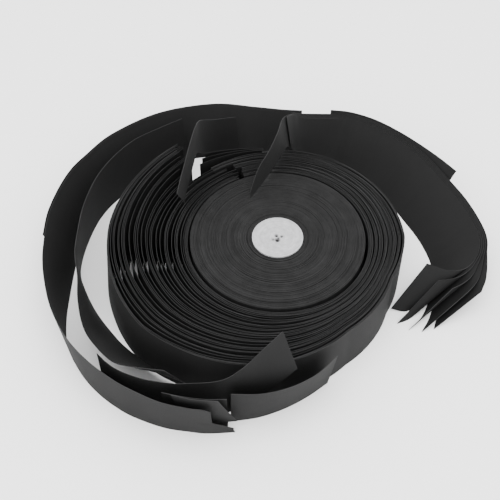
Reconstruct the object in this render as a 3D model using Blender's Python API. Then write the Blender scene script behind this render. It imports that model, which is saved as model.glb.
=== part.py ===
"""A flat-wound roll of loose paper strips: a wound core, a tight pack, loose turns and sprung strip ends.

Metres, +Z up. The origin is the middle of the core on the face that the roll lies on.
Paths are given in millimetres, as the run of a strip's lower edge seen from above.
"""

import math

import bpy
import numpy as np

MM = 0.001
STRIP_WIDTH = 25.0  # every strip is cut to this width, so it is also the height of the roll
LOOSE_PLY = 0.26  # a single loose strip, with the air held between its plies
TURN_PLY = 0.90  # a loose turn: several plies lying together
CORE_RADIUS = 10.7
PACK_INNER = 11.0
PACK_OUTER = 36.6
NEST_STEP = 0.82  # spacing of nested strips, measured level
STATION_STEP = 6.0  # spacing of cross-sections along a strip
TURN_STATION = 6.0  # and round a loose turn, in degrees
CORE_SEGMENTS = 48
PACK_SEGMENTS = 96
SHARP_ANGLE = 40.0  # faces that meet at more than this show a crease

UP = np.array([0.0, 0.0, 1.0])


# ---------------------------------------------------------------- materials and meshes


def make_material(name, colour, roughness):
    """A plain Principled material."""
    material = bpy.data.materials.new(name)
    material.use_nodes = True
    shader = material.node_tree.nodes["Principled BSDF"]
    shader.inputs["Base Color"].default_value = (*colour, 1.0)
    shader.inputs["Roughness"].default_value = roughness
    shader.inputs["Metallic"].default_value = 0.0
    return material


def add_object(name, points_mm, faces, material, axis=(0.0, 0.0)):
    """Makes one named object whose origin stands on the vertical axis at (x, y), in millimetres."""
    shift = np.array([axis[0], axis[1], 0.0])
    mesh = bpy.data.meshes.new(name)
    mesh.from_pydata(((np.asarray(points_mm) - shift) * MM).tolist(), [], faces)
    mesh.materials.append(material)
    mesh.shade_smooth()
    mesh.set_sharp_from_angle(angle=math.radians(SHARP_ANGLE))
    mesh.update()
    item = bpy.data.objects.new(name, mesh)
    item.location = shift * MM
    bpy.context.scene.collection.objects.link(item)
    return item


# ---------------------------------------------------------------- curves


def smooth(rows, step=STATION_STEP):
    """Catmull-Rom curve through the rows, whose first columns are x, y and z."""
    rows = np.asarray(rows, float)
    padded = np.vstack([2 * rows[0] - rows[1], rows, 2 * rows[-1] - rows[-2]])
    out = []
    for a, b, c, d in zip(padded, padded[1:], padded[2:], padded[3:]):
        count = max(1, round(np.linalg.norm((c - b)[:3]) / step))
        for t in np.arange(count) / count:
            bend = (2 * a - 5 * b + 4 * c - d) * t**2 + (3 * b - a - 3 * c + d) * t**3
            out.append(0.5 * (2 * b + (c - a) * t + bend))
    return np.array([*out, rows[-1]])


def level_left(points):
    """The level unit vector to the left of travel at each point."""
    tangent = np.gradient(points, axis=0)
    left = np.stack([-tangent[:, 1], tangent[:, 0], np.zeros(len(points))], axis=1)
    return left / np.linalg.norm(left, axis=1, keepdims=True)


def edges(rows, side, step=STATION_STEP):
    """Lower and upper edge of a strip.

    A row is x, y, lift and outward lean in degrees, or the lower and the upper point where the strip twists.
    side is +1 where outward is to the left of travel, and -1 where it is to the right.
    """
    low = np.array([row[:3] for row in rows], float)
    tangent = np.gradient(low, axis=0)
    tangent /= np.linalg.norm(tangent, axis=1, keepdims=True)
    outward = side * level_left(low)
    rise = np.cross(tangent, np.cross(UP, tangent))
    rise /= np.linalg.norm(rise, axis=1, keepdims=True)
    pairs = []
    for row, out, climb in zip(rows, outward, rise):
        if len(row) == 6:
            pairs.append(row)
            continue
        lean = math.radians(row[3])
        high = np.array(row[:3]) + STRIP_WIDTH * (math.cos(lean) * climb + math.sin(lean) * out)
        pairs.append((*row[:3], *high))
    curve = smooth(pairs, step)
    return curve[:, :3], curve[:, 3:]


def nested(low, high, distance):
    """The same two edges, moved level by a distance to the left of travel."""
    shift = level_left((low + high) / 2) * np.reshape(distance, (-1, 1))
    return low + shift, high + shift


def face_normals(line, across):
    """Unit normals of a strip along one of its two edges."""
    normal = np.cross(np.gradient(line, axis=0), across)
    return normal / np.linalg.norm(normal, axis=1, keepdims=True)


def strip_solid(low, high, ply):
    """Points and faces of a closed strip of thickness ply between two edges.

    Both of its wide faces are split along the same diagonals, so that they stay a ply apart where it twists.
    """
    across = high - low
    below, above = (face_normals(line, across) * ply / 2 for line in (low, high))
    ring = np.stack([low + below, high + above, high - above, low - below], axis=1)
    count = len(ring)
    faces = [(0, 1, 2, 3), tuple(4 * (count - 1) + k for k in (3, 2, 1, 0))]
    for row in range(count - 1):
        low_out, high_out, high_in, low_in = range(4 * row, 4 * row + 4)
        faces += [
            (low_out, low_out + 4, high_out + 4),
            (low_out, high_out + 4, high_out),
            (high_out, high_out + 4, high_in + 4, high_in),
            (high_in, high_in + 4, low_in),
            (high_in + 4, low_in + 4, low_in),
            (low_in, low_in + 4, low_out + 4, low_out),
        ]
    return ring.reshape(-1, 3), faces


def add_strip(name, rows, material, side=1, ply=LOOSE_PLY, axis=(0.0, 0.0)):
    points, faces = strip_solid(*edges(rows, side), ply)
    return add_object(name, points, faces, material, axis)


# ---------------------------------------------------------------- core and pack


def ring_solid(inner, outer, height, segments):
    """Points and faces of a ring, or of a solid disc where inner is 0."""
    angles = np.arange(segments) * 2 * math.pi / segments
    circle = np.stack([np.cos(angles), np.sin(angles)], axis=1)
    radii = [(outer, 0.0), (outer, height)]
    if inner:
        radii += [(inner, height), (inner, 0.0)]
    points = np.vstack([np.column_stack([circle * r, np.full(segments, z)]) for r, z in radii])
    faces = []
    rings = len(radii)
    for k in range(rings if inner else 1):
        for n in range(segments):
            a, b = k * segments + n, k * segments + (n + 1) % segments
            shift = ((k + 1) % rings) * segments - k * segments
            faces.append((a, b, b + shift, a + shift))
    if not inner:
        faces.append(tuple(range(segments, 2 * segments)))
        faces.append(tuple(reversed(range(segments))))
    return points, faces


def add_core(material):
    points, faces = ring_solid(0.0, CORE_RADIUS, STRIP_WIDTH, CORE_SEGMENTS)
    return add_object("core", points, faces, material)


def add_pack(material):
    points, faces = ring_solid(PACK_INNER, PACK_OUTER, STRIP_WIDTH, PACK_SEGMENTS)
    return add_object("wound_pack", points, faces, material)


# ---------------------------------------------------------------- loose turns of the coil

# Each loose turn starts behind the pack and opens clockwise: right, front, left, then its end at the rear
# left. The rows give its radius at those places, its start and end bearing, and its lean at the left.
TURN_BEARINGS = (90.0, 0.0, -25.0, -60.0, -95.0, -140.0, -185.0, -232.0)
TURNS = {
    "inner_wrap": ((38.4, 39.0, 39.3, 39.8, 39.8, 39.4, 38.6, 38.2), 112.0, -246.0, 0.0),
    "loose_turn_1": ((40.2, 41.0, 41.0, 41.7, 42.6, 42.7, 42.2, 40.9), 112.0, -246.0, 0.0),
    "loose_turn_2": ((42.0, 43.0, 42.7, 43.6, 45.6, 46.6, 46.6, 44.6), 111.0, -243.0, 0.0),
    "loose_turn_3": ((43.7, 45.0, 44.4, 45.6, 48.8, 51.6, 53.2, 50.2), 114.5, -226.0, 0.0),
    "loose_turn_4": ((45.4, 46.9, 45.9, 47.6, 52.2, 56.6, 59.2, 60.5), 114.5, -232.0, 0.0),
    "loose_turn_5": ((47.0, 48.8, 47.4, 49.8, 55.8, 61.6, 65.2, 66.4), 126.0, -232.0, 0.0),
    "loose_turn_6": ((48.6, 50.7, 48.9, 51.9, 59.4, 65.8, 68.9, 68.8), 126.0, -232.0, 0.0),
    "outer_turn": ((50.2, 52.6, 50.4, 54.0, 62.8, 71.6, 73.0, 71.2), 97.0, -232.0, -5.0),
}
THICK_TURNS = {"loose_turn_2": 1.3, "loose_turn_5": 1.3}


def turn_stations(radii, start, end, lean):
    """Rows for a loose turn, evenly spaced round it."""
    count = round((start - end) / TURN_STATION)
    rows = []
    for bearing in np.linspace(start, end, count + 1):
        radius = radius_at(radii, bearing)
        angle = math.radians(bearing)
        tilt = lean * max(0.0, -math.cos(angle))
        rows.append((radius * math.cos(angle), radius * math.sin(angle), 0.0, tilt))
    return rows


def radius_at(radii, bearing):
    """The radius of a turn at a bearing, straight between the listed bearings."""
    if bearing >= TURN_BEARINGS[0]:
        return radii[0]
    for high, low, near, far in zip(TURN_BEARINGS, TURN_BEARINGS[1:], radii, radii[1:]):
        if bearing >= low:
            part = (high - bearing) / (high - low)
            return near + (far - near) * part
    return radii[-1]


def add_turns(material):
    for name, (radii, start, end, lean) in TURNS.items():
        stations = turn_stations(radii, start, end, lean)
        add_strip(name, stations, material, side=1, ply=THICK_TURNS.get(name, TURN_PLY))


# ---------------------------------------------------------------- loose strips of the left and the front

LEFT_AXIS = (2.0, 67.0)  # the left strips are pinched together here, at the back
FRONT_AXIS = (-18.0, -73.0)  # the front right strip is tucked in here
FLAP_AXIS = (-69.5, -57.5)  # the strip that lies over the coil is tucked in here
REAR_AXIS = (-25.0, 66.0)  # the strip that climbs out at the rear left is held here

LEFT_WIDE = [
    (12.0, 66.2, 0, 32), (2.0, 66.9, 0, 33), (-10.7, 68.7, 0, 33), (-28.0, 70.9, 0, 32),
    (-49.0, 66.2, 0, 29), (-66.5, 54.7, 0, 27), (-75.7, 43.6, 0, 25.5), (-82.0, 33.4, 0, 25),
    (-87.0, 15.7, 0, 24), (-88.0, 2.0, 0, 23), (-88.6, -12.0, 0, 19), (-88.6, -25.0, 0, 12),
    (-86.6, -38.1, 0, 6), (-79.8, -51.0, 0, 4), (-72.1, -60.2, 0, 3), (-63.8, -67.0, 0, 3),
    (-56.0, -71.6, 0, 4), (-44.5, -75.9, 0, 7), (-33.3, -77.8, 0, 9), (-27.5, -78.3, 0, 10),
    (-17.0, -77.7, 0, -18.0, -78.4, 9.0),
]
LEFT_OUTER_ROWS = 10  # the outermost strip lies behind this many of those rows, then ends
LEFT_UPRIGHT = [
    (-40.5, 65.4, 0, 16), (-50.0, 61.8, 0, 10), (-62.0, 54.2, 0, 8), (-72.0, 43.8, 0, 4),
    (-79.3, 32.0, 0, 0), (-83.7, 17.0, 0, -2), (-85.4, 2.0, 0, -83.8, 2.0, 24.9),
    (-83.0, -8.6, 0, -83.5, -8.8, 25.0),
    (-78.2, -17.9, 0, -81.4, -20.0, 24.6), (-73.0, -26.0, 0, -80.2, -31.6, 23.2),
    (-66.0, -35.0, 0, -77.4, -42.1, 20.6), (-58.9, -43.3, 2.5, -72.6, -50.6, 21.2),
    (-50.4, -51.5, 5.0, -63.4, -60.6, 23.0), (-42.2, -56.9, 6.0, -52.6, -65.0, 26.3),
    (-35.0, -60.9, 6.5, -43.6, -67.6, 28.6),
]
FRONT_UNDER = [
    (-44.0, -73.2, 0, 4), (-36.0, -74.6, 0, 5), (-28.0, -75.2, 0, 6), (-20.0, -75.2, 0, 6),
]
FRONT_SHORT = [
    (-37.0, -75.4, 3, 6), (-28.0, -76.4, 4.2, 9), (-16.5, -76.2, 6, 13),
]
FRONT_RIGHT = [
    (-19.0, -73.0, 0, 6), (-8.0, -71.2, 0, 10), (2.0, -67.4, 0, 12), (11.0, -62.2, 0, 12),
    (19.5, -55.6, 0, 9),
]
FLAP = [
    (-69.5, -57.5, 0, 1), (-65.8, -61.9, 0, 0), (-61.2, -65.2, 0, 0), (-53.8, -68.4, 0, 0),
    (-46.6, -70.2, 0, 0), (-39.5, -71.2, 0, 0), (-32.0, -71.4, 0, -1),
    (-22.0, -71.0, 2.5, -22.6, -71.4, 27.4),
    (-12.0, -70.4, 9.0, -14.4, -70.2, 33.8), (-2.5, -68.8, 18.5, -6.4, -67.2, 42.5),
    (6.2, -66.4, 28.0, 0.2, -65.8, 51.5),
]
REAR_CLIMBER = [
    (-39.5, 18.0, 26.0, -40.7, 1.6, 50.0), (-38.9, 24.5, 26.0, -39.5, 10.5, 50.0),
    (-37.8, 31.0, 26.1, -38.2, 18.5, 50.0), (-36.6, 40.0, 26.0, -36.6, 29.5, 49.8),
    (-35.3, 50.5, 23.0, -34.8, 42.5, 47.0), (-32.5, 59.4, 13.0, -33.4, 53.8, 40.0),
    (-26.0, 64.4, 5.0, -28.2, 63.8, 31.0), (-16.0, 66.0, 0.5, -18.0, 71.8, 25.0),
]


def add_left_strips(material):
    counter = -1  # these run counterclockwise, so outward is to the right of travel
    add_strip("left_strip_wide", LEFT_WIDE, material, counter, axis=LEFT_AXIS)
    behind = nested(*edges(LEFT_WIDE[:LEFT_OUTER_ROWS], counter), counter * NEST_STEP)
    points, faces = strip_solid(*behind, LOOSE_PLY)
    add_object("left_strip_outer", points, faces, material, LEFT_AXIS)
    add_strip("left_strip_upright", LEFT_UPRIGHT, material, counter, axis=LEFT_AXIS)
    add_strip("front_strip_under", FRONT_UNDER, material, counter, axis=LEFT_AXIS)
    add_strip("front_strip_short", FRONT_SHORT, material, counter, axis=LEFT_AXIS)
    add_strip("front_strip_right", FRONT_RIGHT, material, counter, axis=FRONT_AXIS)
    add_strip("front_flap", FLAP, material, counter, axis=FLAP_AXIS)
    add_strip("rear_climber", REAR_CLIMBER, material, 1, axis=REAR_AXIS)


# ---------------------------------------------------------------- strips of the right-hand loop

RIGHT_AXIS = (12.0, 59.0)  # the right-hand strips are pinched together here, behind the coil

# The strips rise from over the pack, drop behind the coil, lean out round the loop, and roll over in a fan.
LOOP = [
    (-10.8, 20.5, 25.6, -10.8, 21.6, 28.0), (-6.0, 28.0, 26.0, -7.5, 26.0, 37.5),
    (-1.5, 36.0, 26.5, -3.1, 30.5, 43.5), (3.0, 45.0, 26.6, 0.8, 37.5, 47.8),
    (6.4, 54.0, 23.4, 3.4, 48.0, 46.4), (10.0, 59.8, 13.0, 8.0, 59.5, 38.0),
    (16.0, 62.6, 4.0, 13.8, 67.5, 28.5), (24.0, 62.8, 0, 31), (31.0, 61.2, 0, 35),
    (38.0, 57.4, 0, 38), (45.0, 51.2, 0, 41), (52.0, 42.0, 0, 44), (58.4, 30.0, 0, 48),
    (63.4, 20.0, 0, 50), (66.8, 10.0, 0, 50), (67.8, 2.5, 0.0, 86.6, 5.5, 16.2),
    (66.0, -8.0, 0.0, 84.4, -2.6, 15.9), (60.5, -16.2, 0.0, 80.0, -6.8, 12.6),
    (54.6, -20.4, 0.0, 73.0, -7.4, 11.6), (48.0, -19.6, 1.0, 63.6, -3.8, 11.8),
]
LOOP_START = (40.0, 0.0, 54.0, 54.0, 57.0)  # where along the run each strip begins, from the innermost out
LOOP_CUT = (0.0, 5.0, 8.0, 10.5, 13.0)  # how far short of the innermost each strip is cut
FAN_SPREAD = (0.0, 6.0, 8.0, 9.5, 10.0)  # how far each strip springs out, level, at its end
LOOP_STATION = 4.5  # spacing of cross-sections round the loop, which bends tightly
FAN_LENGTH = 16.0  # the strips spread over this length before their ends
REAR_END = [
    (24.0, 67.8, 0, 31), (31.2, 66.4, 0, 35), (38.8, 62.8, 0, 38), (46.8, 56.6, 0, 40),
    (54.7, 49.0, 0, 41), (62.2, 40.8, 0, 41), (68.5, 33.0, 0, 40),
]


def loop_edges(index):
    """Edges of one strip of the loop; 0 is the innermost."""
    low, high = edges(LOOP, 1, STATION_STEP / 3)
    middle = (low + high) / 2
    run = np.concatenate([[0], np.cumsum(np.linalg.norm(np.diff(middle, axis=0), axis=1))])
    start, end = LOOP_START[index], run[-1] - LOOP_CUT[index]
    kept = np.linspace(start, end, round((end - start) / LOOP_STATION))
    low = np.column_stack([np.interp(kept, run, low[:, k]) for k in range(3)])
    high = np.column_stack([np.interp(kept, run, high[:, k]) for k in range(3)])
    part = np.clip((kept - end + FAN_LENGTH) / FAN_LENGTH, 0, 1)
    return nested(low, high, index * NEST_STEP + FAN_SPREAD[index] * part**2)


def add_loop_strips(material):
    for index in range(len(LOOP_START)):
        points, faces = strip_solid(*loop_edges(index), LOOSE_PLY)
        add_object(f"loop_strip_{index + 1}", points, faces, material, RIGHT_AXIS)
    add_strip("rear_end_strip", REAR_END, material, 1, axis=RIGHT_AXIS)


def main():
    for item in list(bpy.data.objects):
        bpy.data.objects.remove(item)
    black = make_material("black_paper", (0.022, 0.022, 0.023), 0.88)
    edge_black = make_material("black_paper_edges", (0.030, 0.030, 0.031), 0.9)
    pale = make_material("pale_core_paper", (0.55, 0.55, 0.54), 0.85)
    add_core(pale)
    add_pack(edge_black)
    add_turns(edge_black)
    add_left_strips(black)
    add_loop_strips(black)


main()
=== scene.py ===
"""Looks of the loose paper strip roll: thin sprung strips, fanned turns, a wound pack and a pale wound core.

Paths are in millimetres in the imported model's frame, +Z up, with the origin in the middle of the core on
the face that the roll lies on. A strip is given by the run of its lower edge seen from above.
"""

import math

import bmesh
import bpy
import numpy as np
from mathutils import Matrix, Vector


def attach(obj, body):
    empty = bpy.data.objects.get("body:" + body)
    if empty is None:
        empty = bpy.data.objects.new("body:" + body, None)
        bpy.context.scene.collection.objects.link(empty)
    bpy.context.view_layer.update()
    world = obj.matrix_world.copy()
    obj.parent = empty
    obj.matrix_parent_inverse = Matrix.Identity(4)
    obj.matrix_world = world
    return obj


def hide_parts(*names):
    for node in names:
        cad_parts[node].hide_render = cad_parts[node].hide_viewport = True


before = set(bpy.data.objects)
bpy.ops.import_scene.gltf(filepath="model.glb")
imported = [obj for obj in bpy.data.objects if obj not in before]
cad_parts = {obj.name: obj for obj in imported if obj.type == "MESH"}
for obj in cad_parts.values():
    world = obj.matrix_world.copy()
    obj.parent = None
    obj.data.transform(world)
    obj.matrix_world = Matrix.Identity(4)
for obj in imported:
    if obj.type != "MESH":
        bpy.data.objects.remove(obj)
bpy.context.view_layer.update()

MM = 0.001
STRIP_WIDTH = 25.0
PAPER_PLY = 0.17  # thickness of one strip of paper
NEST_STEP = 0.82  # level spacing of strips that lie inside each other
STATION_STEP = 1.2  # spacing of cross-sections along a loose strip
STRIP_LINES = 10  # divisions across a loose strip
CUT_REACH = 22.0  # a cut end moves the strip's grid no further in than this
PACK_INNER = 11.0
PACK_OUTER = 36.6
CORE_RADIUS = 10.7
LOWEST = 0.02  # nothing dips under the floor

WAVE_COUNT = 5  # sines in a seeded wobble
STRIP_WAVES = (70.0, 18.0)  # longest and shortest waves along a strip's edges
TORN_WAVES = (6.0, 1.3)  # and across a torn end, in tenths of the strip's width
SEED_SHIFT = 0.37  # gives each strip its own place in the paper's texture
SHARP_ANGLE = 40.0  # faces that meet at more than this show a crease

UP = np.array([0.0, 0.0, 1.0])


# ---------------------------------------------------------------- camera, light and floor

CAMERA_PLACE = (-0.0115, -0.26865, 0.34789)
CAMERA_PITCH = 39.0
CAMERA_LENS = 72.58
SENSOR_WIDTH = 36.0
WORLD_STRENGTH = 2.7
FLOOR_HALF = 3.0
FLOOR_GREY = 0.93


def add_camera():
    data = bpy.data.cameras.new("camera")
    data.lens = CAMERA_LENS
    data.sensor_width = SENSOR_WIDTH
    camera = bpy.data.objects.new("camera", data)
    camera.location = CAMERA_PLACE
    camera.rotation_euler = (math.radians(CAMERA_PITCH), 0.0, 0.0)
    bpy.context.scene.collection.objects.link(camera)
    bpy.context.scene.camera = camera


def add_softbox(name, place, target, size, power):
    """A square area light that points from place to target."""
    data = bpy.data.lights.new(name, "AREA")
    data.shape = "RECTANGLE"
    data.size, data.size_y = size
    data.energy = power
    light = bpy.data.objects.new(name, data)
    light.location = place
    aim = Vector(target) - Vector(place)
    light.rotation_euler = aim.to_track_quat("-Z", "Y").to_euler()
    light.visible_camera = False
    bpy.context.scene.collection.objects.link(light)


def add_world(strength):
    world = bpy.data.worlds.new("studio")
    world.use_nodes = True
    back = world.node_tree.nodes["Background"]
    back.inputs["Color"].default_value = (1.0, 1.0, 1.0, 1.0)
    back.inputs["Strength"].default_value = strength
    bpy.context.scene.world = world


def add_floor():
    half = FLOOR_HALF
    mesh = bpy.data.meshes.new("floor")
    corners = [(-half, -half, 0), (half, -half, 0), (half, half, 0), (-half, half, 0)]
    mesh.from_pydata(corners, [], [(0, 1, 2, 3)])
    paint = Paint("floor_white", roughness=0.9)
    paint.set("Base Color", (FLOOR_GREY, FLOOR_GREY, FLOOR_GREY, 1.0))
    mesh.materials.append(paint.material)
    floor = bpy.data.objects.new("floor", mesh)
    bpy.context.scene.collection.objects.link(floor)


def add_studio():
    add_world(WORLD_STRENGTH)
    add_softbox("key_front", (-0.05, -0.42, 0.16), (0.0, -0.03, 0.01), (0.5, 0.2), 0.5)
    add_softbox("key_top", (0.0, -0.15, 0.8), (0.0, 0.0, 0.0), (0.8, 0.8), 7.0)


# ---------------------------------------------------------------- materials


SPECULAR_LEVEL = 0.2  # paper is duller than the shader's default
BLUE_GAIN = 1.01  # every grey is very slightly cool
PALE = (0.8, 0.8, 0.8, 1.0)  # a speck of dust


class Paint:
    """A procedural Principled material, built node by node."""

    def __init__(self, name, roughness):
        self.material = bpy.data.materials.new(name)
        self.material.use_nodes = True
        self.tree = self.material.node_tree
        self.shader = self.tree.nodes["Principled BSDF"]
        self.shader.inputs["Roughness"].default_value = roughness
        self.shader.inputs["Specular IOR Level"].default_value = SPECULAR_LEVEL

    def set(self, socket, value):
        self.shader.inputs[socket].default_value = value

    def node(self, kind, **inputs):
        """Adds a node; an input is a value, or the output of another node."""
        made = self.tree.nodes.new("ShaderNode" + kind)
        for name, value in inputs.items():
            socket = made.inputs[name.replace("_", " ")]
            if isinstance(value, bpy.types.NodeSocket):
                self.tree.links.new(value, socket)
            else:
                socket.default_value = value
        return made

    def link(self, output, socket):
        self.tree.links.new(output, self.shader.inputs[socket])

    def attribute(self, name):
        found = self.node("Attribute")
        found.attribute_name = name
        return found

    def scaled(self, vector, scale):
        made = self.node("Mapping", Vector=vector, Scale=scale)
        return made.outputs["Vector"]

    def noise(self, vector, scale, detail=2.0, roughness=0.5):
        """Noise whose scale differs along each axis."""
        place = self.scaled(vector, scale)
        made = self.node("TexNoise", Vector=place, Scale=1.0, Detail=detail, Roughness=roughness)
        return made.outputs["Fac"]

    def math(self, operation, a, b):
        made = self.tree.nodes.new("ShaderNodeMath")
        made.operation = operation
        for value, socket in zip((a, b), made.inputs):
            if isinstance(value, bpy.types.NodeSocket):
                self.tree.links.new(value, socket)
            else:
                socket.default_value = value
        return made.outputs["Value"]

    def weighted(self, *terms):
        """The sum of (output, weight) terms."""
        total = self.math("MULTIPLY", *terms[0])
        for term in terms[1:]:
            total = self.math("ADD", total, self.math("MULTIPLY", *term))
        return total

    def ramp(self, factor, stops):
        """stops are (place, grey) pairs."""
        made = self.node("ValToRGB", Fac=factor)
        elements = made.color_ramp.elements
        for index, (place, grey) in enumerate(stops):
            element = elements[index] if index < 2 else elements.new(place)
            element.position = place
            element.color = (grey, grey, grey * BLUE_GAIN, 1.0)
        return made.outputs["Color"]

    def bump(self, height, strength, distance):
        made = self.node("Bump", Height=height, Strength=strength, Distance=distance)
        self.link(made.outputs["Normal"], "Normal")


def paper_paint(name, dark, light, outer_painted_light):
    """Matt black paper: fibre mottling, faint streaks across the strip, and painted light: the outer face's
    colour is scaled up by the given gain.
    """
    paint = Paint(name, roughness=0.82)
    place = paint.attribute("paper").outputs["Vector"]
    mottle = paint.noise(place, (90.0, 90.0, 1.0), 4.0, 0.6)
    fibre = paint.noise(place, (2600.0, 1500.0, 1.0), 3.0, 0.65)
    streak = paint.noise(place, (1300.0, 60.0, 1.0), 2.0, 0.5)
    mixed = paint.weighted((mottle, 0.35), (fibre, 0.4), (streak, 0.25))
    colour = paint.ramp(mixed, [(0.3, dark), (0.7, light)])
    # Painted light: on the outer face the colour is made paler by the gain, for the light that outward faces
    # catch from the bright floor.
    outer = paint.attribute("outer").outputs["Fac"]
    painted_light_gain = paint.math("ADD", paint.math("MULTIPLY", outer, outer_painted_light - 1.0), 1.0)
    painted_light_scaler = paint.node("VectorMath")
    painted_light_scaler.operation = "SCALE"
    paint.tree.links.new(colour, painted_light_scaler.inputs[0])
    paint.tree.links.new(painted_light_gain, painted_light_scaler.inputs["Scale"])
    paint.link(painted_light_scaler.outputs["Vector"], "Base Color")
    paint.link(paint.math("ADD", paint.math("MULTIPLY", fibre, 0.25), 0.68), "Roughness")
    paint.bump(paint.weighted((fibre, 0.7), (streak, 0.5)), 0.5, 0.00006)
    return paint.material


def edge_paint(name, dark, light):
    """A cut paper edge: paler than the face, with fine broken fibres."""
    paint = Paint(name, roughness=0.85)
    place = paint.attribute("paper").outputs["Vector"]
    fibre = paint.noise(place, (1800.0, 600.0, 7.0), 3.0, 0.7)
    patch = paint.noise(place, (60.0, 60.0, 13.0), 2.0, 0.5)
    mixed = paint.math("MULTIPLY", paint.math("ADD", fibre, patch), 0.5)
    paint.link(paint.ramp(mixed, [(0.32, dark), (0.68, light)]), "Base Color")
    paint.bump(fibre, 0.4, 0.00005)
    return paint.material


def pack_paint():
    """The pack's cut edges: fine winding lines, cloudy wear and a few pale specks of dust."""
    paint = Paint("pack_edges", roughness=0.85)
    spun = paint.attribute("spun").outputs["Vector"]  # ply number, run in metres, depth in millimetres
    place = paint.attribute("paper").outputs["Vector"]
    ply = paint.noise(spun, (3.1, 4.0, 0.0), 3.0, 0.6)
    cloud = paint.noise(place, (150.0, 150.0, 1.0), 5.0, 0.65)
    fibre = paint.noise(place, (2100.0, 2100.0, 1.0), 3.0, 0.7)
    mixed = paint.weighted((ply, 0.3), (cloud, 0.45), (fibre, 0.25))
    colour = paint.ramp(mixed, [(0.33, 0.005), (0.5, 0.010), (0.68, 0.018)])
    speck = paint.node("TexVoronoi", Vector=place, Scale=170.0)
    dust = paint.ramp(speck.outputs["Distance"], [(0.0, 1.0), (0.045, 0.0)])
    rare = paint.ramp(paint.noise(place, (60.0, 60.0, 1.0)), [(0.62, 0.0), (0.66, 1.0)])
    dusty = paint.math("MULTIPLY", paint.math("MULTIPLY", dust, rare), 0.16)
    mix = paint.node("MixRGB", Fac=dusty, Color1=colour, Color2=PALE)
    paint.link(mix.outputs["Color"], "Base Color")
    paint.bump(paint.math("ADD", fibre, ply), 0.5, 0.00008)
    return paint.material


def core_paint():
    """Pale wound paper: fine rings, grey mottling, a clean rim, and painted shade that darkens the hollows
    at the middle.
    """
    paint = Paint("core_wound_paper", roughness=0.8)
    spun = paint.attribute("spun").outputs["Vector"]  # ply number, run in metres, pit depth 0 to 1
    place = paint.attribute("paper").outputs["Vector"]
    ring = paint.noise(spun, (2.4, 6.0, 0.0), 3.0, 0.6)
    cloud = paint.noise(place, (420.0, 420.0, 1.0), 4.0, 0.6)
    fibre = paint.noise(place, (2600.0, 2600.0, 1.0), 3.0, 0.7)
    mixed = paint.weighted((ring, 0.3), (cloud, 0.45), (fibre, 0.25))
    colour = paint.ramp(mixed, [(0.3, 0.24), (0.5, 0.38), (0.7, 0.52)])
    # Painted shade: the colour is darkened with the pit depth, to 0.06 at the deepest, for the shade in the
    # hollows.
    split = paint.node("SeparateXYZ", Vector=spun)
    shade = paint.ramp(split.outputs["Z"], [(0.0, 1.0), (0.45, 0.35), (1.0, 0.06)])
    mix = paint.node("MixRGB", Fac=1.0, Color1=colour, Color2=shade)
    mix.blend_type = "MULTIPLY"
    paint.link(mix.outputs["Color"], "Base Color")
    paint.bump(paint.math("ADD", fibre, ring), 0.5, 0.00008)
    return paint.material


# ---------------------------------------------------------------- curves


def smooth(rows):
    """Catmull-Rom curve through the rows, whose first columns are x, y and z."""
    rows = np.asarray(rows, float)
    padded = np.vstack([2 * rows[0] - rows[1], rows, 2 * rows[-1] - rows[-2]])
    out = []
    for a, b, c, d in zip(padded, padded[1:], padded[2:], padded[3:]):
        count = max(1, round(np.linalg.norm((c - b)[:3]) / STATION_STEP))
        for t in np.arange(count) / count:
            bend = (2 * a - 5 * b + 4 * c - d) * t**2 + (3 * b - a - 3 * c + d) * t**3
            out.append(0.5 * (2 * b + (c - a) * t + bend))
    return np.array([*out, rows[-1]])


def level_left(points):
    """The level unit vector to the left of travel at each point."""
    tangent = np.gradient(points, axis=0)
    left = np.stack([-tangent[:, 1], tangent[:, 0], np.zeros(len(points))], axis=1)
    return left / np.linalg.norm(left, axis=1, keepdims=True)


def edges(rows, side):
    """Lower and upper edge of a strip.

    A row is x, y, lift and outward lean in degrees, or the lower and the upper point where the strip twists.
    side is +1 where outward is to the left of travel, and -1 where it is to the right.
    """
    low = np.array([row[:3] for row in rows], float)
    tangent = np.gradient(low, axis=0)
    tangent /= np.linalg.norm(tangent, axis=1, keepdims=True)
    outward = side * level_left(low)
    rise = np.cross(tangent, np.cross(UP, tangent))
    rise /= np.linalg.norm(rise, axis=1, keepdims=True)
    pairs = []
    for row, out, climb in zip(rows, outward, rise):
        if len(row) == 6:
            pairs.append(row)
            continue
        lean = math.radians(row[3])
        high = np.array(row[:3]) + STRIP_WIDTH * (math.cos(lean) * climb + math.sin(lean) * out)
        pairs.append((*row[:3], *high))
    curve = smooth(pairs)
    return curve[:, :3], curve[:, 3:]


def nested(low, high, distance):
    """The same two edges, moved level by a distance to the left of travel."""
    shift = level_left((low + high) / 2) * np.reshape(distance, (-1, 1))
    return low + shift, high + shift


def run_along(points):
    """How far along the line each point lies."""
    return np.concatenate([[0], np.cumsum(np.linalg.norm(np.diff(points, axis=0), axis=1))])


def sample(places, run, points):
    return np.column_stack([np.interp(places, run, points[:, k]) for k in range(points.shape[1])])


def waves(places, seed, longest, shortest):
    """A smooth seeded wobble of about unit size, with wavelengths between the two given."""
    chance = np.random.default_rng(seed)
    lengths = np.geomspace(longest, shortest, WAVE_COUNT)
    phases = chance.uniform(0, 2 * math.pi, WAVE_COUNT)
    sizes = chance.uniform(0.5, 1.0, WAVE_COUNT) * np.sqrt(lengths / longest)
    total = sum(
        size * np.sin(2 * math.pi * places / length + phase)
        for size, length, phase in zip(sizes, lengths, phases)
    )
    return total / sizes.sum()


# ---------------------------------------------------------------- sheets of paper


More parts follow.
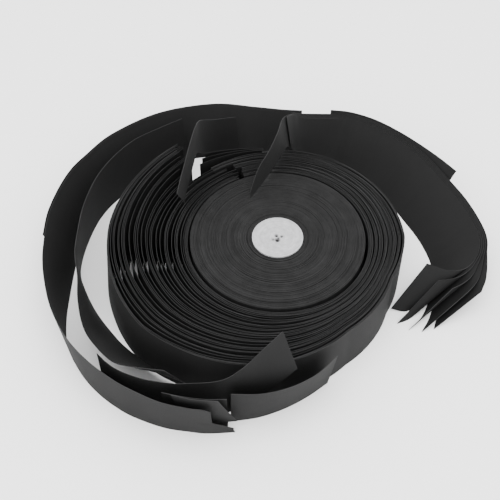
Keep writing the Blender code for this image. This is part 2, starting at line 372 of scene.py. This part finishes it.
class Sheet:
    """Collects plies of paper as points, faces and attributes, for one mesh."""

    def __init__(self):
        self.points, self.faces, self.kinds = [], [], []
        self.paper, self.outer = [], []
        self.count = 0

    def ply(self, middle, normal, paper, thickness):
        """Adds one ply: a grid of middle points (stations by lines) and its outward normals."""
        stations, lines = middle.shape[:2]
        size = stations * lines
        half = normal * (thickness / 2)
        layers = np.concatenate([(middle + half).reshape(-1, 3), (middle - half).reshape(-1, 3)])
        layers[:, 2] = np.maximum(layers[:, 2], LOWEST)
        number = np.arange(size).reshape(stations, lines) + self.count
        quads = np.stack([number[:-1, :-1], number[1:, :-1], number[1:, 1:], number[:-1, 1:]], axis=-1)
        quads = quads.reshape(-1, 4)
        rim = np.concatenate([number[:-1, 0], number[-1, :-1], number[:0:-1, -1], number[0, :0:-1]])
        after = np.roll(rim, -1)
        edge = np.stack([after, rim, rim + size, after + size], axis=-1)
        self.faces += [quads, quads[:, ::-1] + size, edge]
        self.kinds += [np.zeros(2 * len(quads), int), np.ones(len(edge), int)]
        self.points.append(layers)
        self.paper.append(np.concatenate([paper.reshape(-1, 3)] * 2))
        # 1 on the outer face and 0 on the inner; the turns' paint uses it to paint the outer face paler, as
        # painted light.
        self.outer.append(np.repeat([1.0, 0.0], size))
        self.count += 2 * size

    def build(self, name, materials):
        points = np.concatenate(self.points) * MM
        faces = np.concatenate(self.faces)
        item = add_mesh(name, points, faces, materials)
        item.data.polygons.foreach_set("material_index", np.concatenate(self.kinds))
        store(item.data, "paper", np.concatenate(self.paper))
        store(item.data, "outer", np.concatenate(self.outer))
        return item


def add_mesh(name, points, faces, materials):
    mesh = bpy.data.meshes.new(name)
    mesh.from_pydata(points.tolist(), [], faces.tolist())
    for material in materials:
        mesh.materials.append(material)
    mesh.shade_smooth()
    mesh.set_sharp_from_angle(angle=math.radians(SHARP_ANGLE))
    item = bpy.data.objects.new(name, mesh)
    bpy.context.scene.collection.objects.link(item)
    return item


def store(mesh, name, values):
    kind, key = ("FLOAT_VECTOR", "vector") if values.ndim == 2 else ("FLOAT", "value")
    layer = mesh.attributes.new(name, kind, "POINT")
    layer.data.foreach_set(key, values.astype(np.float32).ravel())


def strip_grid(low, high, side, seed, end_cut=None, wobble=0.0, lines=STRIP_LINES):
    """Middle points, outward normals and paper places of one strip.

    A cut maps the place across, 0 at the lower edge and 1 at the upper, to how much shorter the strip is
    there. wobble is the size of its waves.
    """
    run = run_along((low + high) / 2)
    across = np.linspace(0, 1, lines + 1)
    cut = end_cut(across) if end_cut else np.zeros_like(across)
    places = np.linspace(0, 1, max(4, round(run[-1] / STATION_STEP)))[:, None] * run[-1]
    places = places - cut * np.clip(1 - (run[-1] - places) / CUT_REACH, 0, 1)
    foot = sample(places.ravel(), run, low).reshape(*places.shape, 3)
    head = sample(places.ravel(), run, high).reshape(*places.shape, 3)
    rise = high - low
    normals = -side * np.cross(np.gradient((low + high) / 2, axis=0), rise)
    normals /= np.linalg.norm(normals, axis=1, keepdims=True)
    normal = sample(places.ravel(), run, normals).reshape(*places.shape, 3)
    upper = waves(places, seed, *STRIP_WAVES)
    lower = waves(places, seed + 1, *STRIP_WAVES)
    wave = wobble * (upper * across + lower * (1 - across) * 0.5)
    middle = foot + (head - foot) * across[None, :, None] + normal * wave[..., None]
    paper = np.stack([places * MM, np.broadcast_to(across * STRIP_WIDTH * MM, places.shape)], axis=-1)
    paper = np.concatenate([paper, np.full((*places.shape, 1), seed * SEED_SHIFT)], axis=-1)
    return middle, normal, paper


def add_strip(node, low, high, side, seed, **shape):
    """Makes one loose strip that stands for its CAD node."""
    middle, normal, paper = strip_grid(low, high, side, seed, **shape)
    sheet = Sheet()
    sheet.ply(middle, normal, paper, PAPER_PLY)
    item = sheet.build(node + "_paper", [PAPER, PAPER_EDGE])
    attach(item, node + "_body")
    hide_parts(node)


def slanted(depth):
    """A cut that is square at the lower edge and short by depth at the upper."""
    return lambda across: depth * across


def tongue(length, share, seed):
    """The upper part is torn off short by length, and the lower share runs on as a tongue."""

    def cut(across):
        ragged = 0.5 * (1 + waves(across * 10, seed, *TORN_WAVES))
        return np.where(across > share, length, 0.0) + ragged

    return cut


# ---------------------------------------------------------------- the loose strips

LEFT_WIDE = [
    (12.0, 66.2, 0, 32), (2.0, 66.9, 0, 33), (-10.7, 68.7, 0, 33), (-28.0, 70.9, 0, 32),
    (-49.0, 66.2, 0, 29), (-66.5, 54.7, 0, 27), (-75.7, 43.6, 0, 25.5), (-82.0, 33.4, 0, 25),
    (-87.0, 15.7, 0, 24), (-88.0, 2.0, 0, 23), (-88.6, -12.0, 0, 19), (-88.6, -25.0, 0, 12),
    (-86.6, -38.1, 0, 6), (-79.8, -51.0, 0, 4), (-72.1, -60.2, 0, 3), (-63.8, -67.0, 0, 3),
    (-56.0, -71.6, 0, 4), (-44.5, -75.9, 0, 7), (-33.3, -77.8, 0, 9), (-27.5, -78.3, 0, 10),
    (-17.0, -77.7, 0, -18.0, -78.4, 9.0),
]
LEFT_OUTER_ROWS = 10  # the outermost strip lies behind this many of those rows, then ends
LEFT_UPRIGHT = [
    (-40.5, 65.4, 0, 16), (-50.0, 61.8, 0, 10), (-62.0, 54.2, 0, 8), (-72.0, 43.8, 0, 4),
    (-79.3, 32.0, 0, 0), (-83.7, 17.0, 0, -2), (-85.4, 2.0, 0, -83.8, 2.0, 24.9),
    (-83.0, -8.6, 0, -83.5, -8.8, 25.0),
    (-78.2, -17.9, 0, -81.4, -20.0, 24.6), (-73.0, -26.0, 0, -80.2, -31.6, 23.2),
    (-66.0, -35.0, 0, -77.4, -42.1, 20.6), (-58.9, -43.3, 2.5, -72.6, -50.6, 21.2),
    (-50.4, -51.5, 5.0, -63.4, -60.6, 23.0), (-42.2, -56.9, 6.0, -52.6, -65.0, 26.3),
    (-35.0, -60.9, 6.5, -43.6, -67.6, 28.6),
]
FRONT_UNDER = [
    (-44.0, -73.2, 0, 4), (-36.0, -74.6, 0, 5), (-28.0, -75.2, 0, 6), (-20.0, -75.2, 0, 6),
]
FRONT_SHORT = [
    (-37.0, -75.4, 3, 6), (-28.0, -76.4, 4.2, 9), (-16.5, -76.2, 6, 13),
]
FRONT_RIGHT = [
    (-19.0, -73.0, 0, 6), (-8.0, -71.2, 0, 10), (2.0, -67.4, 0, 12), (11.0, -62.2, 0, 12),
    (19.5, -55.6, 0, 9),
]
FLAP = [
    (-69.5, -57.5, 0, 1), (-65.8, -61.9, 0, 0), (-61.2, -65.2, 0, 0), (-53.8, -68.4, 0, 0),
    (-46.6, -70.2, 0, 0), (-39.5, -71.2, 0, 0), (-32.0, -71.4, 0, -1),
    (-22.0, -71.0, 2.5, -22.6, -71.4, 27.4),
    (-12.0, -70.4, 9.0, -14.4, -70.2, 33.8), (-2.5, -68.8, 18.5, -6.4, -67.2, 42.5),
    (6.2, -66.4, 28.0, 0.2, -65.8, 51.5),
]
REAR_CLIMBER = [
    (-39.5, 18.0, 26.0, -40.7, 1.6, 50.0), (-38.9, 24.5, 26.0, -39.5, 10.5, 50.0),
    (-37.8, 31.0, 26.1, -38.2, 18.5, 50.0), (-36.6, 40.0, 26.0, -36.6, 29.5, 49.8),
    (-35.3, 50.5, 23.0, -34.8, 42.5, 47.0), (-32.5, 59.4, 13.0, -33.4, 53.8, 40.0),
    (-26.0, 64.4, 5.0, -28.2, 63.8, 31.0), (-16.0, 66.0, 0.5, -18.0, 71.8, 25.0),
]
LOOP = [
    (-10.8, 20.5, 25.6, -10.8, 21.6, 28.0), (-6.0, 28.0, 26.0, -7.5, 26.0, 37.5),
    (-1.5, 36.0, 26.5, -3.1, 30.5, 43.5), (3.0, 45.0, 26.6, 0.8, 37.5, 47.8),
    (6.4, 54.0, 23.4, 3.4, 48.0, 46.4), (10.0, 59.8, 13.0, 8.0, 59.5, 38.0),
    (16.0, 62.6, 4.0, 13.8, 67.5, 28.5), (24.0, 62.8, 0, 31), (31.0, 61.2, 0, 35),
    (38.0, 57.4, 0, 38), (45.0, 51.2, 0, 41), (52.0, 42.0, 0, 44), (58.4, 30.0, 0, 48),
    (63.4, 20.0, 0, 50), (66.8, 10.0, 0, 50), (67.8, 2.5, 0.0, 86.6, 5.5, 16.2),
    (66.0, -8.0, 0.0, 84.4, -2.6, 15.9), (60.5, -16.2, 0.0, 80.0, -6.8, 12.6),
    (54.6, -20.4, 0.0, 73.0, -7.4, 11.6), (48.0, -19.6, 1.0, 63.6, -3.8, 11.8),
]
LOOP_START = (40.0, 0.0, 54.0, 54.0, 57.0)  # where along the run each begins, from the innermost out
LOOP_CUT = (0.0, 5.0, 8.0, 10.5, 13.0)  # how far short of the innermost each strip is cut
FAN_SPREAD = (0.0, 6.0, 8.0, 9.5, 10.0)  # how far each strip springs out, level, at its end
FAN_LENGTH = 16.0  # the strips spread over this length before their ends
REAR_END = [
    (24.0, 67.8, 0, 31), (31.2, 66.4, 0, 35), (38.8, 62.8, 0, 38), (46.8, 56.6, 0, 40),
    (54.7, 49.0, 0, 41), (62.2, 40.8, 0, 41), (68.5, 33.0, 0, 40),
]


def add_left_strips():
    """The strips of the left side. The two that nest share a seed, so that they wave together."""
    low, high = edges(LEFT_WIDE, -1)
    add_strip("left_strip_wide", low, high, -1, 11, end_cut=tongue(10.5, 0.45, 5), wobble=0.12)
    low, high = edges(LEFT_WIDE[:LEFT_OUTER_ROWS], -1)
    low, high = nested(low, high, -NEST_STEP)
    add_strip("left_strip_outer", low, high, -1, 11, wobble=0.12)
    add_strip("left_strip_upright", *edges(LEFT_UPRIGHT, -1), -1, 17, wobble=0.12)
    add_strip("front_strip_under", *edges(FRONT_UNDER, -1), -1, 19, wobble=0.05)
    add_strip("front_strip_short", *edges(FRONT_SHORT, -1), -1, 23, end_cut=slanted(3.0), wobble=0.05)
    add_strip("front_strip_right", *edges(FRONT_RIGHT, -1), -1, 29, wobble=0.1)
    add_strip("front_flap", *edges(FLAP, -1), -1, 31, wobble=0.1)
    add_strip("rear_climber", *edges(REAR_CLIMBER, 1), 1, 37, wobble=0.1)


def loop_edges(index):
    """Edges of one strip of the loop; 0 is the innermost."""
    low, high = edges(LOOP, 1)
    run = run_along((low + high) / 2)
    start, end = LOOP_START[index], run[-1] - LOOP_CUT[index]
    kept = np.linspace(start, end, round((end - start) / STATION_STEP))
    low, high = sample(kept, run, low), sample(kept, run, high)
    part = np.clip((kept - end + FAN_LENGTH) / FAN_LENGTH, 0, 1)
    return nested(low, high, index * NEST_STEP + FAN_SPREAD[index] * part**2)


def add_loop_strips():
    for index in range(len(LOOP_START)):
        add_strip(f"loop_strip_{index + 1}", *loop_edges(index), 1, 41, wobble=0.0)
    add_strip("rear_end_strip", *edges(REAR_END, 1), 1, 47, wobble=0.0)


# ---------------------------------------------------------------- loose turns of the coil

TURN_BEARINGS = (90.0, 0.0, -25.0, -60.0, -95.0, -140.0, -185.0, -232.0)
TURNS = {
    "inner_wrap": ((38.4, 39.0, 39.3, 39.8, 39.8, 39.4, 38.6, 38.2), 112.0, -246.0, 0.0),
    "loose_turn_1": ((40.2, 41.0, 41.0, 41.7, 42.6, 42.7, 42.2, 40.9), 112.0, -246.0, 0.0),
    "loose_turn_2": ((42.0, 43.0, 42.7, 43.6, 45.6, 46.6, 46.6, 44.6), 111.0, -243.0, 0.0),
    "loose_turn_3": ((43.7, 45.0, 44.4, 45.6, 48.8, 51.6, 53.2, 50.2), 114.5, -226.0, 0.0),
    "loose_turn_4": ((45.4, 46.9, 45.9, 47.6, 52.2, 56.6, 59.2, 60.5), 114.5, -232.0, 0.0),
    "loose_turn_5": ((47.0, 48.8, 47.4, 49.8, 55.8, 61.6, 65.2, 66.4), 126.0, -232.0, 0.0),
    "loose_turn_6": ((48.6, 50.7, 48.9, 51.9, 59.4, 65.8, 68.9, 68.8), 126.0, -232.0, 0.0),
    "outer_turn": ((50.2, 52.6, 50.4, 54.0, 62.8, 71.6, 73.0, 71.2), 97.0, -232.0, -5.0),
}
TIGHT_GAP = 1.7  # where two turns are no further apart than this, their plies lie together
# Each ply of a turn: how far out it lies where the turns are tight, and its share of any wider gap outside.
TURN_PLIES = {
    "inner_wrap": ((-1.1, 0.0), (-0.75, 0.0), (-0.35, 0.0), (-0.1, 0.1), (0.3, 0.2), (0.5, 0.6)),
    "loose_turn_1": ((-0.45, 0.0), (-0.15, 0.05), (0.2, 0.15), (0.45, 0.55)),
    "loose_turn_2": ((-0.6, 0.0), (-0.3, 0.08), (0.0, 0.12), (0.35, 0.45), (0.6, 0.75)),
    "loose_turn_3": ((-0.4, 0.0), (0.0, 0.06), (0.15, 0.3), (0.4, 0.38), (0.55, 0.8)),
    "loose_turn_4": ((-0.45, 0.0), (-0.1, 0.1), (0.2, 0.17), (0.45, 0.62)),
    "loose_turn_5": ((-0.6, -0.1), (-0.3, 0.0), (0.0, 0.14), (0.35, 0.5), (0.6, 0.58)),
    "loose_turn_6": ((-0.4, 0.0), (0.0, 0.05), (0.2, 0.35), (0.45, 0.75)),
    "outer_turn": ((-0.35, 0.0), (-0.1, 0.0), (0.15, 0.0), (0.4, 0.0)),
}
# Plies that start behind the pack: how far out each lies, and how far it opens by its start.
REAR_TAILS = ((0.35, 3.0), (0.8, 5.5), (1.2, 8.0))
REAR_TAIL_START = 129.0
REAR_TAIL_END = 95.0
REAR_TAIL_STAGGER = 3.0
REAR_TAIL_STEP = 1.5
REAR_TAIL_SEED = 190
TURN_LINES = 5
TURN_STEP = 1.0  # degrees between the cross-sections of a turn
TURN_SEED = 100
TURN_LATE = 4.0  # the plies of a turn end within this many degrees of each other
TURN_SHIFT = 0.09  # size of the waves of a ply
TURN_WAVES = (60.0, 15.0)
RIM_SHIFT = 0.5  # size of the waves of a ply's upper edge
RIM_DROP = 0.25
RIM_WAVES = (160.0, 30.0)


def radius_at(radii, bearings):
    """The radius of a turn at each bearing, straight between the listed bearings."""
    return np.interp(-bearings, -np.array(TURN_BEARINGS), radii)


def around(radius, bearings):
    """Level points at these distances and bearings from the middle."""
    angle = np.radians(bearings)
    return np.column_stack([radius * np.cos(angle), radius * np.sin(angle), np.zeros(len(angle))])


def turn_edges(radii, slack, start, end, lean, ply):
    """Lower and upper edge of one ply of a turn.

    slack is how much wider than tight the gap outside the turn is, at each of the listed bearings.
    """
    bearings = np.linspace(start, end, round((start - end) / TURN_STEP) + 1)
    offset, share = ply
    radius = radius_at(radii, bearings) + offset + share * radius_at(slack, bearings)
    outward = around(1.0, bearings)
    tilt = np.radians(lean * np.maximum(0.0, -outward[:, :1]))
    low = radius[:, None] * outward
    return low, low + STRIP_WIDTH * (np.cos(tilt) * UP + np.sin(tilt) * outward)


def add_rear_tails(sheet, radii):
    """The starts of a few plies that open outward behind the pack."""
    for place, (offset, opening) in enumerate(REAR_TAILS):
        bearings = np.arange(REAR_TAIL_START - REAR_TAIL_STAGGER * place, REAR_TAIL_END, -REAR_TAIL_STEP)
        part = np.clip((bearings - TURN_BEARINGS[0]) / (REAR_TAIL_START - TURN_BEARINGS[0]), 0.0, 1.0)
        low = around(radii[0] + offset + opening * part**1.5, bearings)
        grid = strip_grid(low, low + STRIP_WIDTH * UP, 1, REAR_TAIL_SEED + place, lines=TURN_LINES)
        sheet.ply(*grid, PAPER_PLY)


def add_turns():
    every = [np.array(turn[0]) for turn in TURNS.values()]
    for number, (name, (radii, start, end, lean)) in enumerate(TURNS.items()):
        further = every[min(number + 1, len(every) - 1)]
        slack = np.maximum(0.0, further - every[number] - TIGHT_GAP)
        sheet = Sheet()
        for place, ply in enumerate(TURN_PLIES[name]):
            seed = TURN_SEED + 10 * number + place
            late = TURN_LATE * abs(math.sin(seed))
            low, high = turn_edges(radii, slack, start, end + late, lean, ply)
            run = run_along(low)
            low, high = nested(low, high, TURN_SHIFT * waves(run, seed, *TURN_WAVES))
            high = high + UP * (RIM_SHIFT * waves(run, seed + 5, *RIM_WAVES)[:, None] - RIM_DROP)
            grid = strip_grid(low, high, 1, seed, lines=TURN_LINES)
            sheet.ply(*grid, PAPER_PLY)
        if name == "outer_turn":
            add_rear_tails(sheet, radii)
        item = sheet.build(name + "_plies", [TURN_PAPER, TURN_EDGE])
        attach(item, "coil")
        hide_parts(name)


# ---------------------------------------------------------------- pack and core

PACK_PITCH = 0.4  # radial spacing of the plies that show on the pack's faces
PACK_ANGLES = 300
CORE_PITCH = 0.3
CORE_ANGLES = 160
PLY_SAMPLES = (0.0, 0.18, 0.82)  # where across each ply its edge is sampled: groove, crest, crest
WALL_RINGS = 6  # rings up the outer wall
BOTTOM_STRIDE = 3  # the lower face keeps one in this many radii
RUN_SHARE = 0.2  # stretches the texture along the winding
ROUNDING = 1e-6


def spun_radii(inner, outer, pitch):
    """The radii of a wound face: a groove and two crests for every ply, then the outer rim."""
    plies = int((outer - inner) / pitch)
    radii = np.concatenate([[inner + pitch * (ply + part) for part in PLY_SAMPLES] for ply in range(plies)])
    return np.append(radii[radii < outer - 0.1], outer - 0.05)


def add_lathe(node, material, inner, outer, pitch, angle_count, top_height, groove, pits=None):
    """A wound ring or disc whose two faces show the edges of its plies. It stands for its CAD node.

    top_height gives the height of the crests, and groove the depth of the groove beside each ply, from the
    place along the winding, the radius and the angle. pits gives the depth of any hollows.
    """
    angles = np.arange(angle_count) * 2 * math.pi / angle_count
    radii = spun_radii(inner, outer, pitch)
    index = (radii - inner) / pitch
    in_groove = np.isclose(np.modf(index + ROUNDING)[0], 0.0, atol=0.01)
    in_groove[-1] = False
    winding = np.floor(index + ROUNDING)[None, :] + (angles / (2 * math.pi))[:, None]
    places = winding, radii[None, :], angles[:, None]
    crest = top_height(*places)
    depth = np.where(in_groove[None, :], groove(*places), 0.0)
    pit = np.zeros_like(crest) if pits is None else pits(*places[1:])
    cos, sin = np.cos(angles)[:, None], np.sin(angles)[:, None]
    wall = np.linspace(1, 0, WALL_RINGS + 2)[1:-1] * STRIP_WIDTH
    level = np.ones(WALL_RINGS)
    below = radii[::-BOTTOM_STRIDE]
    bottom = LOWEST + 0.25 * (STRIP_WIDTH - crest + depth)[:, ::-BOTTOM_STRIDE].clip(0, 1.2)
    sections = [
        np.stack([radii * cos, radii * sin, crest - depth - pit], axis=-1),
        np.stack([outer * cos * level, outer * sin * level, wall * np.ones_like(cos)], axis=-1),
        np.stack([below * cos, below * sin, bottom], axis=-1),
    ]
    grid = np.concatenate(sections, axis=1)
    columns = grid.shape[1]
    number = np.arange(angle_count * columns).reshape(angle_count, columns)
    after = np.roll(number, -1, axis=0)
    here = np.arange(columns if inner else columns - 1)
    beside = (here + 1) % columns
    quads = np.stack([number[:, here], number[:, beside], after[:, beside], after[:, here]], axis=-1)
    item = add_mesh(node + "_plies", grid.reshape(-1, 3) * MM, quads.reshape(-1, 4), [material])
    if not inner:
        close_ends(item)
    faced = len(radii)
    spun = np.zeros((angle_count, columns, 3))
    spun[:, :faced, 0] = winding
    spun[:, :faced, 1] = winding * 2 * math.pi * radii * MM * RUN_SHARE
    # the pit depth, which the core's paint turns into painted shade
    spun[:, :faced, 2] = np.clip(pit, 0, 1)
    spun[:, faced:, 0] = grid[:, faced:, 2]
    store(item.data, "spun", spun.reshape(-1, 3))
    store(item.data, "paper", (grid * MM).reshape(-1, 3))
    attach(item, "roll")
    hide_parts(node)


def close_ends(item):
    """Fills the small holes at the middle of a disc's two faces."""
    mesh = bmesh.new()
    mesh.from_mesh(item.data)
    holes = [edge for edge in mesh.edges if edge.is_boundary]
    bmesh.ops.holes_fill(mesh, edges=holes)
    mesh.to_mesh(item.data)
    mesh.free()


def pack_height(winding, radii, angles):
    slow = waves(winding * 22.0, 3, 60.0, 9.0)
    tilt = 0.35 * np.sin(angles + 0.6) * (radii / PACK_OUTER) ** 2
    return STRIP_WIDTH - 0.5 + 0.22 * slow + 0.25 * waves(winding, 8, 9.0, 1.5) + tilt * 0.6


def pack_groove(winding, _radii, angles):
    fine = 0.12 + 0.10 * waves(winding * 3.0, 21, 7.0, 2.2)
    open_ply = np.maximum(0.0, waves(np.floor(winding) * 7.3, 33, 11.0, 2.9) - 0.32) * 7.0
    front = 0.35 + 0.65 * (0.5 - 0.5 * np.sin(angles))
    return np.clip(fine, 0.04, 1) + open_ply * front


def core_height(winding, radii, _angles):
    rim = 0.25 * np.exp(-(((radii - CORE_RADIUS + 0.3) / 0.35) ** 2))
    dish = -0.5 * (1 - radii / CORE_RADIUS) ** 2
    return STRIP_WIDTH - 0.35 + rim + dish + 0.04 * waves(winding * 4.0, 71, 9.0, 2.0)


def core_groove(winding, _radii, _angles):
    return 0.03 + 0.03 * (1 + waves(winding * 5.0, 73, 9.0, 2.0))


CORE_PITS = (  # bearing, distance from the middle, size and depth of the hollows at the core's middle
    (-95.0, 1.1, 0.75, 1.6), (110.0, 1.3, 0.55, 1.1), (25.0, 1.9, 0.5, 0.8), (205.0, 2.1, 0.55, 0.5),
    (0.0, 0.4, 0.4, 0.6),
)


def core_pits(radii, angles):
    total = 0.0
    for bearing, distance, size, depth in CORE_PITS:
        x, y = distance * math.cos(math.radians(bearing)), distance * math.sin(math.radians(bearing))
        gap = np.hypot(radii * np.cos(angles) - x, radii * np.sin(angles) - y)
        total = total + depth * np.exp(-((gap / size) ** 2))
    return total


def add_pack():
    add_lathe("wound_pack", PACK_EDGES, PACK_INNER, PACK_OUTER, PACK_PITCH, PACK_ANGLES,
              pack_height, pack_groove)


def add_core():
    add_lathe("core", CORE_PAPER, 0.0, CORE_RADIUS, CORE_PITCH, CORE_ANGLES,
              core_height, core_groove, core_pits)


# ---------------------------------------------------------------- the scene

PAPER = paper_paint("strip_paper_black", 0.0038, 0.0066, 1.0)
PAPER_EDGE = edge_paint("strip_paper_cut_edge", 0.018, 0.034)
# The turns' outer faces are painted 1.2 times paler, as painted light.
TURN_PAPER = paper_paint("turn_paper_black", 0.0045, 0.0075, 1.2)
TURN_EDGE = edge_paint("turn_paper_cut_edge", 0.006, 0.024)
PACK_EDGES = pack_paint()
CORE_PAPER = core_paint()

add_camera()
add_studio()
add_floor()
add_core()
add_pack()
add_turns()
add_left_strips()
add_loop_strips()
